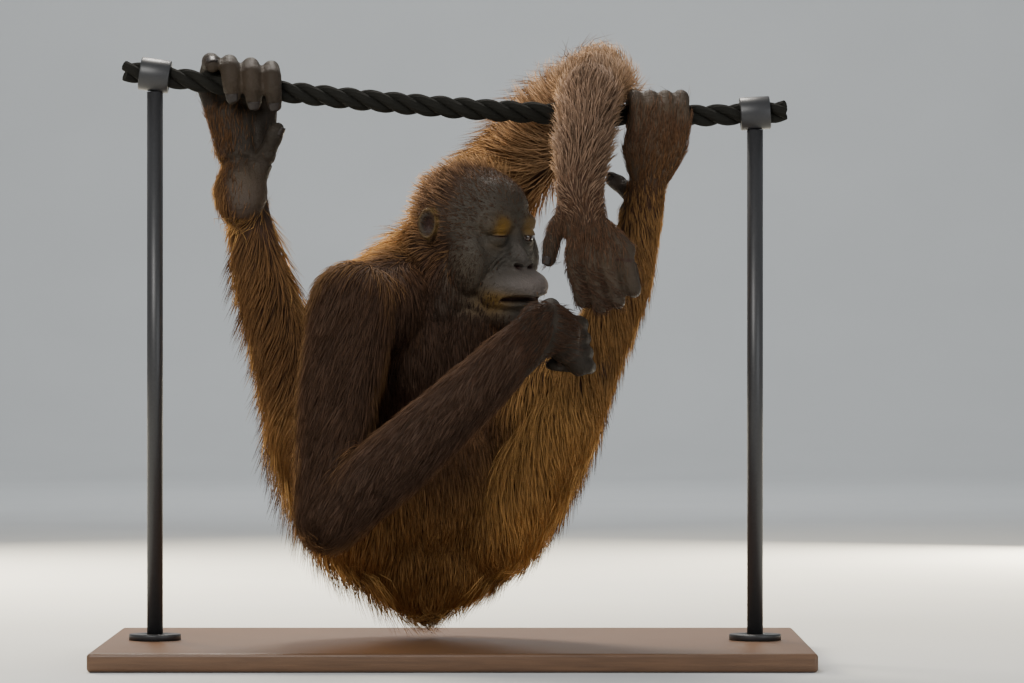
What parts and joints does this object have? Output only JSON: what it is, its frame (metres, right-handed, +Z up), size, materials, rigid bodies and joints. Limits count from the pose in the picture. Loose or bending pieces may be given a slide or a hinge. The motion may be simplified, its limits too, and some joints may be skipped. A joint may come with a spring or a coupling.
{
  "type": "orangutan model on a rope perch",
  "caption": "Life-size young orangutan hanging by its feet and one arm from a cut length of rope on a display stand.",
  "frame": {"origin": "middle of the stand's base on its lower face, under the middle of the rope", "axes": "+Z up, +X along the rope towards the animal's left foot, -Y towards the viewer"},
  "size_m": [0.7, 0.44, 0.6141],
  "materials": {
    "coat": "long reddish-brown hair over dark skin",
    "face_skin": "dark grey-brown bare skin, softly creased",
    "hand_skin": "dark, creased, slightly glossy skin",
    "eye": "dark brown, glossy",
    "rope": "dark weathered laid fibre",
    "stand_base": "dark oiled board",
    "stand_metal": "satin black"
  },
  "bodies": {
    "root": {"head": "face_skin", "neck": "coat", "torso": "coat", "upper_arm_left": "coat", "forearm_left": "coat", "thigh_left": "coat", "shin_left": "coat", "upper_arm_right": "coat", "forearm_right": "coat", "thigh_right": "coat", "shin_right": "coat", "ear_left": "face_skin", "ear_right": "face_skin", "eye_left": "eye", "eye_right": "eye", "hand_left": "hand_skin", "finger_left_1": "hand_skin", "finger_left_2": "hand_skin", "finger_left_3": "hand_skin", "finger_left_4": "hand_skin", "finger_left_5": "hand_skin", "foot_left": "hand_skin", "toe_left_1": "hand_skin", "toe_left_2": "hand_skin", "toe_left_3": "hand_skin", "toe_left_4": "hand_skin", "toe_left_5": "hand_skin", "hand_right": "hand_skin", "finger_right_1": "hand_skin", "finger_right_2": "hand_skin", "finger_right_3": "hand_skin", "finger_right_4": "hand_skin", "finger_right_5": "hand_skin", "foot_right": "hand_skin", "toe_right_1": "hand_skin", "toe_right_2": "hand_skin", "toe_right_3": "hand_skin", "toe_right_4": "hand_skin", "toe_right_5": "hand_skin", "perch_rope": "rope", "stand_base": "stand_base", "stand_rod_left": "stand_metal", "stand_collar_left": "stand_metal", "stand_flange_left": "stand_metal", "stand_rod_right": "stand_metal", "stand_collar_right": "stand_metal", "stand_flange_right": "stand_metal"}
  },
  "joints": []
}
